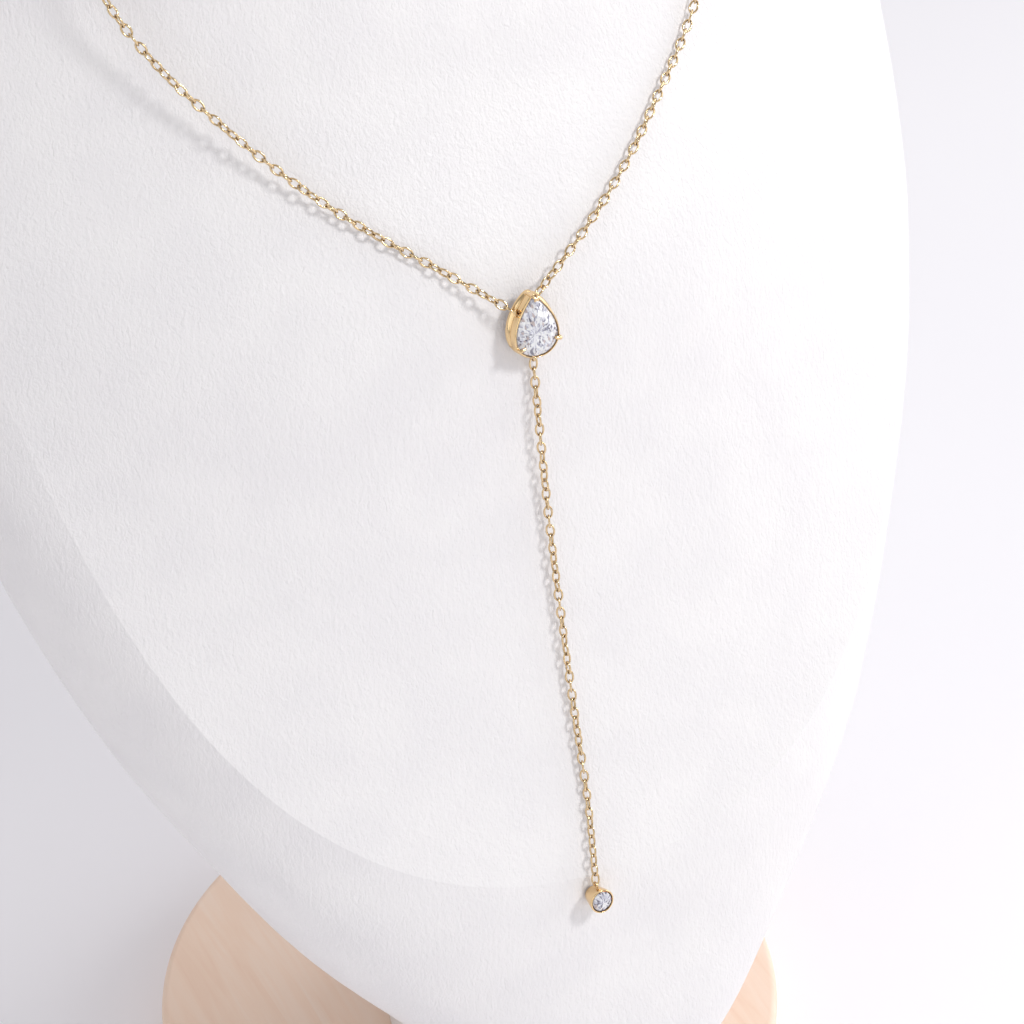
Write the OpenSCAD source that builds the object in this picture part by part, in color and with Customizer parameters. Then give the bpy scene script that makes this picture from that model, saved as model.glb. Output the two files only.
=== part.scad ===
// Y necklace on its neck bust. The bust stands on a round wooden base.
// Origin: middle of the wood's underside. +Z is up and the chest faces -Y. Millimetres.

/* [Wood base] */
// Diameter of the round wooden base
wood_d = 119; // [112:1:130]
// Thickness of the wooden base
wood_t = 15; // [8:1:25]
// Radius of the rounding on both rims of the wood
wood_rim = 1.5; // [0.5:0.5:3]

/* [Bust] */
// Height of the bust above the wood
bust_h = 285; // [275:1:300]
// Width of the bust across its shoulders
bust_w = 177; // [170:1:185]
// Depth that the bust's sections are shares of
bust_d = 150; // [145:1:155]
// Height of the chest's lowest edge above the wood
edge_h = 82; // [78:1:86]
// Radius of the rounding round the top of the neck
neck_rim = 4; // [2:1:6]
// Gap between the bust's foot and the wood
foot_gap = 0.2; // [0.1:0.1:0.5]

/* [Chain] */
// Length of one link, outside
link_l = 2.3; // [2.1:0.05:2.4]
// Width of one link, outside
link_w = 1.5; // [1.4:0.05:1.6]
// Thickness of the links' wire
link_wire = 0.3; // [0.26:0.02:0.32]
// Gap between the wires of two links that hold each other
link_gap = 0.1; // [0.1:0.02:0.16]
// Turn of the drop's links about the chain, from lying flat
link_turn = 45; // [30:5:60]

/* [Pear pendant] */
// Width of the pear stone
pear_w = 6.7; // [6.5:0.1:7.5]
// Height of the pear stone
pear_h = 9.4; // [9:0.1:10]
// Place of the pendant, to the right of the bust's middle
pear_x = -5.1; // [-8:0.1:0]
// Height of the pendant's widest place above the wood
pear_up = 171.3; // [165:0.1:176]
// Lean of the pendant back towards the chest
pear_lean = 11.5; // [6:0.5:13]
// Depth of the setting, from its front lip to its back
setting_depth = 2.7; // [2.5:0.1:3.3]
// Thickness of the setting's wall at the lip
setting_wall = 0.42; // [0.35:0.01:0.5]
// Gap between a stone and its setting
stone_gap = 0.12; // [0.1:0.01:0.15]
// Gap between the foot of the pear pendant's back and the bust
pear_gap = 0.7; // [0.3:0.1:0.9]
// Gap between the cup or the clasp and the bust
seat_gap = 0.3; // [0.2:0.1:0.5]

/* [Rings and claws] */
// Radius of the small rings soldered to the pendants, to the middle of their wire
ear_r = 0.52; // [0.5:0.02:0.6]
// Thickness of those rings' wire
ear_wire = 0.28; // [0.24:0.02:0.3]
// Radius of the claws' round ends
claw_r = 0.3; // [0.26:0.02:0.34]

/* [Round drop] */
// Diameter of the drop's round cup at its front
cup_d = 4.1; // [3.8:0.1:4.4]
// Diameter of the cup's back
cup_back_d = 3; // [2.6:0.1:3.4]
// Depth of the cup
cup_depth = 3.4; // [3:0.1:3.8]
// Thickness of the cup's rim
cup_wall = 0.28; // [0.22:0.02:0.34]
// Height of the cup's middle above the wood
cup_up = 80; // [78:0.5:81]
// Place of the cup, to the right of the pear pendant
cup_x = -2.4; // [-4:0.1:-1]
// Lean of the cup back, so that its stone looks up
cup_lean = 15; // [8:1:20]

/* [Clasp] */
// Length of the clasp's body
clasp_l = 8; // [6:0.5:10]
// Diameter of the clasp's body
clasp_d = 2.8; // [2.4:0.1:3.2]
// Radius of the clasp's eyes, to the middle of their wire
eye_r = 0.9; // [0.8:0.05:1.1]
// Thickness of the eyes' wire
eye_wire = 0.5; // [0.4:0.05:0.6]

/* [Hidden] */

WOOD = [0.87, 0.74, 0.61];
LEATHER = [0.95, 0.94, 0.93];
GOLD = [0.93, 0.76, 0.45];
STONE = [0.86, 0.88, 0.93];

// Sections of the bust, from its foot to the top of its neck. Columns: height above the wood as a
// share of bust_h, half the width as a share of bust_w, then the places of the wall's front, of its
// widest part, of its back and of the chest's middle, each from the stand's axis as a share of bust_d.
HEIGHT = 0;
HALF = 1;
FRONT = 2;
WIDEST = 3;
BACK = 4;
CHEST = 5;
SECTIONS = [
    [0, 0.112, -0.33, -0.12, 0.08, -0.52],
    [0.07, 0.125, -0.39, -0.14, 0.105, -0.52],
    [0.147, 0.181, -0.44, -0.135, 0.165, -0.52],
    [0.218, 0.28, -0.413, -0.09, 0.233, -0.453],
    [edge_h / bust_h, 0.345, -0.393, -0.062, 0.255, -0.393],
    [0.358, 0.4, -0.34, -0.075, 0.258, -0.336],
    [0.446, 0.45, -0.257, -0.045, 0.268, -0.281],
    [0.533, 0.484, -0.168, 0.02, 0.289, -0.242],
    [0.586, 0.495, -0.117, 0.073, 0.316, -0.228],
    [0.639, 0.5, -0.063, 0.135, 0.36, -0.185],
    [0.702, 0.5, 0.013, 0.22, 0.433, -0.109],
    [0.744, 0.486, 0.033, 0.255, 0.478, -0.075],
    [0.789, 0.441, -0.027, 0.243, 0.513, -0.069],
    [0.828, 0.362, -0.06, 0.233, 0.527, -0.073],
    [0.87, 0.282, -0.073, 0.227, 0.527, -0.083],
    [0.919, 0.251, -0.087, 0.213, 0.513, -0.093],
    [1, 0.246, -0.107, 0.19, 0.487, -0.107]];

// The chest's edge: how far it spreads to each side, and how fast it turns upwards
edge_spread = 0.565 * bust_w;
edge_turn = 0.197 * bust_h;
// The edge is crisp: beside it the wall follows a curve that starts steeply and reaches the widest
// place. EDGE_CUT is the share of the depth at which that curve's corner lies, edge_fade the height
// over which the edge grows crisp, and the last two the shares of bust_h between which it softens again
EDGE_CUT = 0.5;
edge_fade = 0.14 * bust_h;
SOFT_FROM = 0.62;
SOFT_TO = 0.75;
// Roundness of a section: 2 is an ellipse and more is squarer. The body's front half, its back half,
// the neck, and the chest between its edges
FRONT_POWER = 2.87;
BACK_POWER = 2.5;
NECK_POWER = 2.1;
CHEST_POWER = 2.3;
// Heights between which the body becomes the neck, as shares of bust_h
NECK_FROM = 0.73;
NECK_TO = 0.856;
// Half width of the front panel on the neck, as a share of the neck's half width
NECK_PANEL = 0.8;
// Columns of a section once it is worked out, in millimetres: half width, place of its widest part,
// depth before and behind that, place of the chest's middle, the powers of its front and back halves,
// half width of its front panel, the share of the wall's own curve in that panel, and how crisp the
// chest's edge is
S_HALF = 0;
S_MIDDLE = 1;
S_AHEAD = 2;
S_BEHIND = 3;
S_CHEST = 4;
S_FRONT_POWER = 5;
S_BACK_POWER = 6;
S_PANEL = 7;
S_WALL = 8;
S_EDGE = 9;
// Numbers of steps across half the front panel, from there to the widest place, from there to the
// middle of the back, and up the foot, chest and neck
FRONT_STEPS = 8;
SIDE_STEPS = 9;
BACK_STEPS = 11;
FOOT_STEPS = 9;
CHEST_STEPS = 14;
NECK_STEPS = 11;
RIM_STEPS = 4;
// Height at which the chest's rings end and the neck's begin, as a share of bust_h
SHOULDER = 0.72;

// Route of the neck chain beside the pendant. Columns: place across as a share of half of bust_w,
// height as a share of the way from pear_up to bust_h, and how far the chain's middle stands before
// the chest as a share of link_w.
RIGHT_ROUTE = [[0.076, 0.095, 1.13], [0.182, 0.15, 1.07], [0.282, 0.207, 0.93], [0.377, 0.265, 0.87],
               [0.463, 0.351, 1.89], [0.555, 0.443, 1.77]];
LEFT_ROUTE = [[-0.19, 0.09, 0.93], [-0.291, 0.147, 1], [-0.386, 0.21, 1.73], [-0.472, 0.28, 2.53],
              [-0.547, 0.352, 3.2], [-0.601, 0.428, 2.8]];
// Route round the neck. Columns: angle round the neck from its front, height above the wood as a
// share of bust_h, and how far the chain's middle stands off the neck as a share of link_w.
NECK_ROUTE = [[48, 0.808, 1.07], [60, 0.829, 0.93], [74, 0.848, 0.87], [89, 0.865, 0.8], [104, 0.878, 0.8],
              [119, 0.886, 0.8], [134, 0.889, 0.8], [149, 0.889, 0.8], [164, 0.887, 0.87]];
// Route of the drop down the chest. Columns: place across and height as shares of the way from the
// pear pendant to the cup, and how far the chain's middle stands before the chest as a share of link_w.
DROP_ROUTE = [[0.05, 0.17, 1.13], [-0.01, 0.345, 1], [0.01, 0.515, 1], [0.1, 0.69, 0.87],
              [0.26, 0.845, 0.73]];
// Steps between two points of a route, rings along each half of the neck chain, and sides of its tube
ROUTE_STEPS = 12;
TUBE_RINGS = 40;
TUBE_SIDES = 8;
// Facets along a link's oval and round its wire
LINK_STEPS = 10;
WIRE_STEPS = 5;
// Number of links at each end of the drop in which they turn from lying flat, and half turns by which
// the whole drop is twisted
TURN_LINKS = 10;
TWISTS = 3;

// Rings soldered to the pear setting. Columns: place across, back from the lip and up from the widest
// place, as shares of pear_w, setting_depth and pear_h, and the turn of the ring about the upright.
EAR_LEFT = [-0.4, 0.3, 0.43, 35];
EAR_RIGHT = [0.2, 0.8, 0.56, -35];
// Ring under the setting: place across and behind the lip, as shares of pear_w and setting_depth
EAR_FOOT = [-0.03, 0.74];
// Places of the claws round the pear, as angles from its tip
CLAWS = [-14, 14, -127, 124];
// Place of a claw's post across the wall's thickness, as a share of it
CLAW_SEAT = 0.7;
// How far a claw reaches in over the stone, and how far its end stands before the lip
claw_reach = 0.42;
claw_front = 0.62;

// Profile of the setting's wall. Columns: depth from the lip as a share of setting_depth, and how far
// the outside stands out from the wall's inside as a share of setting_wall.
WALL_PROFILE = [[0, 0.4], [0.07, 0.9], [0.3, 1.0], [0.5, 0.85], [0.58, 0.6], [0.66, 0.95], [0.82, 1.05],
                [0.94, 0.75], [1, 0.35]];
// How far the back of the wall draws in, as a share of the pear's width
WALL_TAPER = 0.05;
PEAR_STEPS = 32;

// Cut of the stones. Columns: size of the ring of facets as a share of the girdle, and its depth
// behind the girdle as a share of the stone's width.
CUT = [[0.5, -0.15], [0.76, -0.105], [0.92, -0.05], [1, -0.008], [1, 0.012], [0.6, 0.19], [0.04, 0.36]];
PEAR_FACETS = 20;
ROUND_FACETS = 16;
// Depth of a stone's girdle behind the lip that holds it
GIRDLE_DEPTH = 0.2;

LATHE_FN = 96;
RING_FN = 16;
BALL_FN = 10;
// Widest half of the curve sin(t) * sin(t / 2)
PEAR_PEAK = 0.7698;
// Height of a pear's middle above its widest place, as a share of its height
PEAR_MIDDLE = 0.1667;
TINY = 0.2;

function clamp01(t) = min(max(t, 0), 1);
function ease(t) = let(c = clamp01(t)) c * c * (3 - 2 * c);
function unit(v) = v / norm(v);

// Row of SECTIONS just below a height
function row_below(h, i = 0) =
    i >= len(SECTIONS) - 2 || h < SECTIONS[i + 1][HEIGHT] * bust_h ? i : row_below(h, i + 1);

function slope(i, column) =
    let(low = SECTIONS[max(i - 1, 0)], high = SECTIONS[min(i + 1, len(SECTIONS) - 1)])
    (high[column] - low[column]) / (high[HEIGHT] - low[HEIGHT]);

// A column of SECTIONS at any height, on a smooth curve through its rows
function along(h, column) =
    let(i = row_below(h),
        a = SECTIONS[i],
        b = SECTIONS[i + 1],
        span = b[HEIGHT] - a[HEIGHT],
        t = clamp01((h / bust_h - a[HEIGHT]) / span),
        t2 = t * t,
        t3 = t2 * t)
    (2 * t3 - 3 * t2 + 1) * a[column] + (t3 - 2 * t2 + t) * slope(i, column) * span
    + (3 * t2 - 2 * t3) * b[column] + (t3 - t2) * slope(i + 1, column) * span;

// Share of the way from the body to the neck
function neckness(h) = ease((h / bust_h - NECK_FROM) / (NECK_TO - NECK_FROM));

// Half the width of the front panel, which the chest's edge bounds
function panel_half(h, half, neck) =
    let(rise = max(h - edge_h, TINY))
    edge_spread * sqrt(rise / (rise + edge_turn)) * (1 - neck) + NECK_PANEL * half * neck;

function section_at(h) =
    let(half = bust_w * along(h, HALF),
        middle = bust_d * along(h, WIDEST),
        neck = neckness(h))
    [half, middle, middle - bust_d * along(h, FRONT), bust_d * along(h, BACK) - middle,
     bust_d * along(h, CHEST), FRONT_POWER + (NECK_POWER - FRONT_POWER) * neck,
     BACK_POWER + (NECK_POWER - BACK_POWER) * neck, panel_half(h, half, neck), h < edge_h ? 1 : neck,
     ease((h - edge_h) / edge_fade) * (1 - ease((h / bust_h - SOFT_FROM) / (SOFT_TO - SOFT_FROM)))];

// The wall's front at a place across, and the front as it is, chest or wall
function wall_y(s, x) =
    let(power = s[S_FRONT_POWER])
    s[S_MIDDLE] - s[S_AHEAD] * pow(max(1 - pow(abs(x) / s[S_HALF], power), 0), 1 / power);

function front_y(s, x) =
    let(edge = wall_y(s, s[S_PANEL]),
        chest = s[S_CHEST] + (edge - s[S_CHEST]) * pow(abs(x) / s[S_PANEL], CHEST_POWER))
    abs(x) > s[S_PANEL] ? wall_y(s, x) : chest * (1 - s[S_WALL]) + wall_y(s, x) * s[S_WALL];

// Point of a section's wall at an angle from its front
function wall_point(s, angle) =
    let(ahead = cos(angle) > 0,
        power = ahead ? s[S_FRONT_POWER] : s[S_BACK_POWER],
        depth = ahead ? s[S_AHEAD] : -s[S_BEHIND])
    [s[S_HALF] * sign(sin(angle)) * pow(abs(sin(angle)), 2 / power),
     s[S_MIDDLE] - depth * pow(abs(cos(angle)), 2 / power)];

// Point of the wall beside the chest, a share of the way from the chest's edge to the widest place
function side_point(s, start, t) =
    let(round_wall = wall_point(s, start + (90 - start) * t),
        edge = [s[S_PANEL], wall_y(s, s[S_PANEL])],
        widest = [s[S_HALF], s[S_MIDDLE]],
        corner = [s[S_HALF], edge[1] + (s[S_MIDDLE] - edge[1]) * EDGE_CUT],
        cut_wall = (1 - t) * (1 - t) * edge + 2 * t * (1 - t) * corner + t * t * widest)
    round_wall + (cut_wall - round_wall) * s[S_EDGE];

// Half a section, from the middle of its front round to the middle of its back
function half_ring(s) =
    let(start = asin(pow(s[S_PANEL] / s[S_HALF], s[S_FRONT_POWER] / 2)))
    concat([for (i = [0:FRONT_STEPS]) let(x = s[S_PANEL] * i / FRONT_STEPS) [x, front_y(s, x)]],
           [for (i = [1:SIDE_STEPS]) side_point(s, start, i / SIDE_STEPS)],
           [for (i = [1:BACK_STEPS]) wall_point(s, 90 + 90 * i / BACK_STEPS)]);

// A whole section at a height, drawn in by a distance for the neck's rounded rim
function ring_at(h, inset = 0, z = undef) =
    let(s = section_at(h),
        half = half_ring(s),
        shrink = 1 - inset / s[S_HALF],
        level = wood_t + (is_undef(z) ? h : z),
        whole = concat(half, [for (i = [len(half) - 2:-1:1]) [-half[i][0], half[i][1]]]))
    [for (p = whole) [p[0] * shrink, s[S_MIDDLE] + (p[1] - s[S_MIDDLE]) * shrink, level]];

// Point of the chest at a place across and a height above the wood, a distance before it
function before_chest(x, h, off) = [x, front_y(section_at(h), x) - off, wood_t + h];

// Point of the neck's right side at an angle from its front, a distance off it
function neck_wall(angle, h) = let(p = wall_point(section_at(h), angle)) [p[0], p[1], wood_t + h];

function off_neck(angle, h, off) =
    let(across = neck_wall(angle + 1, h) - neck_wall(angle - 1, h),
        up = neck_wall(angle, h + 1) - neck_wall(angle, h - 1))
    neck_wall(angle, h) + off * unit(cross(across, up));

// Faces between rings of points, closed with flat ends or joined end to start
function skin_faces(rings, closed) =
    let(n = len(rings[0]),
        count = len(rings),
        last = closed ? count - 1 : count - 2)
    concat([for (i = [0:last], j = [0:n - 1], k = [0, 1])
                let(a = i * n + j,
                    b = ((i + 1) % count) * n + j,
                    c = ((i + 1) % count) * n + (j + 1) % n,
                    d = i * n + (j + 1) % n)
                k == 0 ? [a, b, c] : [a, c, d]],
           closed ? [] : [[for (j = [0:n - 1]) j], [for (j = [n - 1:-1:0]) (count - 1) * n + j]]);

module skin(rings, closed = false) {
    polyhedron(points = [for (ring = rings, p = ring) p], faces = skin_faces(rings, closed));
}

// Smooth curve through a route's points
function curve_point(p, i, t) =
    let(a = p[max(i - 1, 0)], b = p[i], c = p[i + 1], d = p[min(i + 2, len(p) - 1)])
    0.5 * (2 * b + (c - a) * t + (2 * a - 5 * b + 4 * c - d) * t * t + (3 * b - a - 3 * c + d) * t * t * t);

function curve(p) =
    concat([for (i = [0:len(p) - 2], k = [0:ROUTE_STEPS - 1]) curve_point(p, i, k / ROUTE_STEPS)],
           [p[len(p) - 1]]);

// A curve as three tables, of its x, y and z against the length along it
function tabled(c) =
    let(run = [for (i = 0, d = 0; i < len(c); d = d + norm(c[min(i + 1, len(c) - 1)] - c[i]), i = i + 1) d])
    [for (axis = [0:2]) [for (i = [0:len(c) - 1]) [run[i], c[i][axis]]]];

function run_length(table) = let(rows = table[0]) rows[len(rows) - 1][0];
function at(table, d) = [for (axis = [0:2]) lookup(d, table[axis])];
function heading(table, d) =
    let(end = run_length(table)) unit(at(table, min(d + TINY, end)) - at(table, max(d - TINY, 0)));

// Outline of the pear stone at an angle from its tip, from its widest place, and its outward direction
function pear_point(t) =
    [pear_w / 2 / PEAR_PEAK * sin(t) * sin(t / 2), pear_h * (PEAR_MIDDLE + cos(t) / 2)];

function pear_out(t) =
    let(step = unit(pear_point(min(t + 1, 359)) - pear_point(max(t - 1, 1))))
    t < 1 || t > 359 ? [0, 1] : [-step[1], step[0]];

// Rings of facets of a cut stone from its outline and its width
function cut_rings(outline, width) =
    [for (row = CUT) [for (p = outline) [p[0] * row[0], row[1] * width, p[1] * row[0]]]];

// The two pendants: each is modelled with its lip in the plane y = 0 and its middle at the origin
pear_foot = [0, setting_depth, pear_h * (PEAR_MIDDLE - 0.5)];
pear_back = [0, pear_foot[1] * cos(pear_lean) + pear_foot[2] * sin(pear_lean),
             pear_foot[2] * cos(pear_lean) - pear_foot[1] * sin(pear_lean)];
pear_place = before_chest(pear_x, pear_up + pear_back[2], pear_gap) - pear_back;
cup_foot = [0, cup_depth * cos(cup_lean) - cup_back_d / 2 * sin(cup_lean),
            -cup_back_d / 2 * cos(cup_lean) - cup_depth * sin(cup_lean)];
cup_place = before_chest(pear_x + cup_x, cup_up + cup_foot[2], seat_gap) - cup_foot;

// A point of a pendant's own frame, leaned back and moved to its place
function leaned(p, lean, place) =
    place + [p[0], p[1] * cos(lean) + p[2] * sin(lean), p[2] * cos(lean) - p[1] * sin(lean)];

cup_mid_r = (cup_d + cup_back_d) / 4;
cup_ear = [0, cup_depth / 2, cup_mid_r + ear_r];
pear_ear = [EAR_FOOT[0] * pear_w, EAR_FOOT[1] * setting_depth,
            pear_foot[2] * (1 - WALL_TAPER * EAR_FOOT[1]) - stone_gap - setting_wall - ear_r];

// Clasp at the back of the neck, level with the end of the chain's route
clasp_h = NECK_ROUTE[len(NECK_ROUTE) - 1][1] * bust_h;
clasp_place = off_neck(180, clasp_h, clasp_d / 2 + seat_gap);
eye_x = clasp_l / 2 + eye_r;

function chest_points(rows) =
    [for (r = rows) before_chest(r[0] * bust_w / 2, pear_up + r[1] * (bust_h - pear_up), r[2] * link_w)];
function neck_points(side) =
    [for (r = NECK_ROUTE) let(p = off_neck(r[0], r[1] * bust_h, r[2] * link_w)) [side * p[0], p[1], p[2]]];
function ear_middle(ear) = [ear[0] * pear_w, ear[1] * setting_depth, ear[2] * pear_h];
function ear_place(ear) = leaned(ear_middle(ear), pear_lean, pear_place);
function eye_place(side) = [side * eye_x, clasp_place[1], clasp_place[2]];

right_table = tabled(curve(concat([ear_place(EAR_RIGHT)], chest_points(RIGHT_ROUTE), neck_points(1),
                                  [eye_place(1)])));
left_table = tabled(curve(concat([ear_place(EAR_LEFT)], chest_points(LEFT_ROUTE), neck_points(-1),
                                 [eye_place(-1)])));
drop_points = [for (r = DROP_ROUTE)
    before_chest(pear_x + r[0] * cup_x, pear_up + r[1] * (cup_up - pear_up), r[2] * link_w)];
drop_table = tabled(curve(concat([leaned(pear_ear, pear_lean, pear_place)], drop_points,
                                 [leaned(cup_ear, cup_lean, cup_place)])));

// Links of the drop: an end link's wire lies in the middle of the ring that holds it
link_pitch = link_l - 2 * link_wire - link_gap;
link_half = (link_l - link_wire) / 2;
link_side = (link_w - link_wire) / 2;
drop_run = run_length(drop_table) - 2 * link_half;
drop_count = 2 * ceil(drop_run / link_pitch / 2);
drop_pitch = drop_run / drop_count;

module wood_base() {
    arc = [for (a = [0:15:90]) [sin(a), cos(a)] * wood_rim];
    top = [for (p = arc) [wood_d / 2 - wood_rim + p[0], wood_t - wood_rim + p[1]]];
    low = [for (i = [len(arc) - 1:-1:0]) [wood_d / 2 - wood_rim + arc[i][0], wood_rim - arc[i][1]]];
    color(WOOD) rotate_extrude($fn = LATHE_FN) polygon(concat([[0, 0], [0, wood_t]], top, low));
}

module bust() {
    turn_end = atan(sqrt((SHOULDER * bust_h - edge_h) / edge_turn));
    foot = [for (i = [0:FOOT_STEPS]) edge_h * i / FOOT_STEPS];
    chest = [for (i = [1:CHEST_STEPS]) edge_h + edge_turn * pow(tan(turn_end * i / CHEST_STEPS), 2)];
    neck_top = bust_h - neck_rim;
    neck = [for (i = [1:NECK_STEPS]) SHOULDER * bust_h + (neck_top - SHOULDER * bust_h) * i / NECK_STEPS];
    rim = [for (i = [1:RIM_STEPS])
               let(a = 90 * i / RIM_STEPS)
               ring_at(neck_top, neck_rim * (1 - cos(a)), neck_top + neck_rim * sin(a))];
    sides = [for (h = concat(foot, chest, neck)) ring_at(h, 0, max(h, foot_gap))];
    color(LEATHER) skin(concat(sides, rim));
}

// One half of the neck chain as a plain tube as thick as its links are wide
module chain_tube(table) {
    start = ear_r + ear_wire / 2 + stone_gap;
    end = run_length(table) - eye_r - eye_wire / 2 - stone_gap;
    color(GOLD) skin([for (i = [0:TUBE_RINGS])
        let(d = start + (end - start) * i / TUBE_RINGS,
            t = heading(table, d),
            side = unit(cross(t, [0, 0, 1])),
            up = cross(side, t))
        [for (k = [0:TUBE_SIDES - 1])
            let(a = 360 * k / TUBE_SIDES)
            at(table, d) + link_w / 2 * (cos(a) * up + sin(a) * side)]]);
}

module neck_chain_left() {
    chain_tube(left_table);
}

module neck_chain_right() {
    chain_tube(right_table);
}

// An oval link about a middle, along one direction and with its flat side along another
module link(middle, ahead, across) {
    face = cross(ahead, across);
    skin([for (i = [0:LINK_STEPS - 1])
        let(a = 360 * i / LINK_STEPS,
            p = link_half * cos(a) * ahead + link_side * sin(a) * across,
            out = unit(link_side * cos(a) * ahead + link_half * sin(a) * across))
        [for (k = [0:WIRE_STEPS - 1])
            let(b = 360 * k / WIRE_STEPS)
            middle + p + link_wire / 2 * (cos(b) * face + sin(b) * out)]], closed = true);
}

module drop_chain() {
    color(GOLD) for (i = [0:drop_count]) {
        d = link_half + i * drop_pitch;
        ahead = heading(drop_table, d);
        across = unit(cross(ahead, [0, -1, 0]));
        out = cross(across, ahead);
        turn = link_turn * ease(min(i, drop_count - i) / TURN_LINKS)
            + TWISTS * 180 * i / drop_count - (i % 2) * 90;
        link(at(drop_table, d), ahead, cos(turn) * across + sin(turn) * out);
    }
}

// A small round ring whose hole faces -Y, turned about the upright
module ring(middle, turn, radius = ear_r, wire = ear_wire) {
    translate(middle) rotate([0, 0, turn]) rotate([90, 0, 0])
        rotate_extrude($fn = RING_FN) translate([radius, 0]) circle(d = wire, $fn = BALL_FN);
}

module clasp() {
    color(GOLD) translate(clasp_place) {
        rotate([0, 90, 0]) cylinder(d = clasp_d, h = clasp_l - clasp_d, center = true, $fn = LATHE_FN / 2);
        for (side = [-1, 1]) {
            translate([side * (clasp_l - clasp_d) / 2, 0, 0]) sphere(d = clasp_d, $fn = LATHE_FN / 2);
            ring([side * eye_x, 0, 0], 0, eye_r, eye_wire);
        }
    }
}

module place_pear() {
    translate(pear_place) rotate([-pear_lean, 0, 0]) children();
}

module place_cup() {
    translate(cup_place) rotate([-cup_lean, 0, 0]) children();
}

// The pear's outline moved outwards, at a depth behind the lip
function pear_ring(out, depth) =
    [for (i = [0:PEAR_STEPS - 1])
        let(t = 360 * (i + 0.5) / PEAR_STEPS,
            draw_in = 1 - WALL_TAPER * depth / setting_depth,
            p = pear_point(t) * draw_in + pear_out(t) * out)
        [p[0], depth, p[1]]];

// A claw: a post along the outside of the wall, bent in over the stone's edge
module claw(angle) {
    t = angle < 0 ? 360 + angle : angle;
    edge = pear_point(t);
    out = pear_out(t);
    post = edge + out * (stone_gap + setting_wall * CLAW_SEAT);
    tip = edge - out * claw_reach;
    back = post * (1 - WALL_TAPER);
    hull() {
        translate([back[0], setting_depth * 0.9, back[1]]) sphere(r = claw_r * 0.8, $fn = BALL_FN);
        translate([post[0], 0, post[1]]) sphere(r = claw_r, $fn = BALL_FN);
    }
    hull() {
        translate([post[0], 0, post[1]]) sphere(r = claw_r, $fn = BALL_FN);
        translate([post[0], -claw_front, post[1]]) sphere(r = claw_r, $fn = BALL_FN);
    }
    hull() {
        translate([post[0], -claw_front, post[1]]) sphere(r = claw_r, $fn = BALL_FN);
        translate([tip[0], -claw_front - claw_r / 2, tip[1]]) sphere(r = claw_r * 0.8, $fn = BALL_FN);
    }
}

module pear_setting() {
    outer = [for (row = WALL_PROFILE)
        pear_ring(stone_gap + row[1] * setting_wall, row[0] * setting_depth)];
    inner = [for (i = [len(WALL_PROFILE) - 1:-1:0])
        pear_ring(stone_gap, WALL_PROFILE[i][0] * setting_depth)];
    color(GOLD) place_pear() {
        skin(concat(outer, inner), closed = true);
        for (angle = CLAWS) claw(angle);
        for (ear = [EAR_LEFT, EAR_RIGHT]) ring(ear_middle(ear), ear[3]);
        ring(pear_ear, 90);
    }
}

module pear_stone() {
    outline = [for (i = [0:PEAR_FACETS - 1]) pear_point(360 * (i + 0.5) / PEAR_FACETS)];
    color(STONE) place_pear() translate([0, GIRDLE_DEPTH, 0]) skin(cut_rings(outline, pear_w));
}

module drop_bezel() {
    inside = cup_d / 2 - cup_wall;
    deep = cup_depth - cup_wall * 2;
    profile = [[0, 0], [cup_back_d / 2 - cup_wall, 0], [cup_back_d / 2, cup_wall],
               [cup_d / 2, cup_depth - cup_wall], [cup_d / 2 - cup_wall / 3, cup_depth],
               [inside, cup_depth], [inside, cup_depth - GIRDLE_DEPTH * 2.5],
               [cup_wall, cup_depth - deep], [0, cup_depth - deep]];
    color(GOLD) place_cup() {
        translate([0, cup_depth, 0]) rotate([90, 0, 0]) rotate_extrude($fn = LATHE_FN / 2) polygon(profile);
        ring(cup_ear, 90);
    }
}

module drop_stone() {
    radius = cup_d / 2 - cup_wall - stone_gap;
    outline = [for (i = [0:ROUND_FACETS - 1])
        let(a = 360 * (i + 0.5) / ROUND_FACETS) [radius * sin(a), radius * cos(a)]];
    color(STONE) place_cup() translate([0, GIRDLE_DEPTH, 0]) skin(cut_rings(outline, radius * 2));
}

wood_base();
bust();
neck_chain_left();
neck_chain_right();
clasp();
pear_setting();
pear_stone();
drop_chain();
drop_bezel();
drop_stone();
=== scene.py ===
import math
from collections import namedtuple

import bpy
import numpy as np
from mathutils import Matrix, Vector


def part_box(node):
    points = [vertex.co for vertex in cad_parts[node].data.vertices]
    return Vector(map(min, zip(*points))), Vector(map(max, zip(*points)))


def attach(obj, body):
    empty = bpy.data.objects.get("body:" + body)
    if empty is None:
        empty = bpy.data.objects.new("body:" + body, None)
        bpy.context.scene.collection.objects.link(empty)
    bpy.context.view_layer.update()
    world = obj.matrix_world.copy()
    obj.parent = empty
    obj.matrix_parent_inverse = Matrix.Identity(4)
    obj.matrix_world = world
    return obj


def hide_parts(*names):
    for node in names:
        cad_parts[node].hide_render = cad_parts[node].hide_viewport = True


# Y necklace on its neck bust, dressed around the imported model.
# Sizes are millimetres, as in the part's source, and the pieces' meshes are turned into metres.
MM = 0.001

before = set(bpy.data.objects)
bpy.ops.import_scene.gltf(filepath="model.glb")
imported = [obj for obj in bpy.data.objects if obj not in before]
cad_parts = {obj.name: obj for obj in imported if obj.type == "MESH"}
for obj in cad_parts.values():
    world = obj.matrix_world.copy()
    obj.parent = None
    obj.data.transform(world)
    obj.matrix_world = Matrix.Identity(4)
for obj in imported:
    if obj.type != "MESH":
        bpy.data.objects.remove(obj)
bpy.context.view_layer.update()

# Camera at the photo's angle
CAMERA_PLACE = (-164.95, -331.35, 404.14)
CAMERA_AZIMUTH = 27.81
CAMERA_DOWN = 36.71
CAMERA_ROLL = -0.31
LENS = 95.944
SENSOR = 36


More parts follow.
